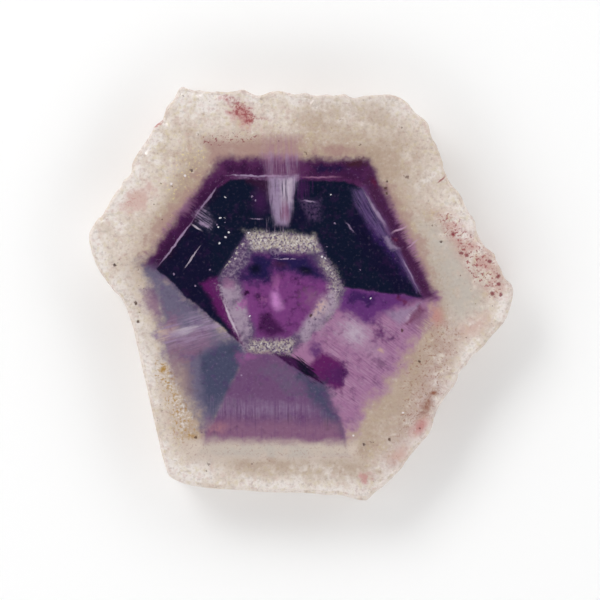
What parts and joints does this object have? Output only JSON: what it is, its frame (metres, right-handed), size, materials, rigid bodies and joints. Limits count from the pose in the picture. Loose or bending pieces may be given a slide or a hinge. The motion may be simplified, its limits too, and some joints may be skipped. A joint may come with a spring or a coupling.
{
  "type": "trapiche amethyst slice",
  "caption": "Polished flat slice across a six-sided amethyst crystal, with a cream quartz rim, dark violet sectors and a white ring around a magenta core.",
  "frame": {"origin": "under the middle of the slice, on the surface that its sawn back lies on", "axes": "+Z out of the polished face, +X to the right corner of the outline and +Y to its long top flank, as the polished face is seen"},
  "size_m": [0.0426, 0.0416, 0.006],
  "materials": {
    "amethyst": "polished"
  },
  "bodies": {
    "root": {"amethyst_slice": "amethyst"}
  },
  "joints": []
}
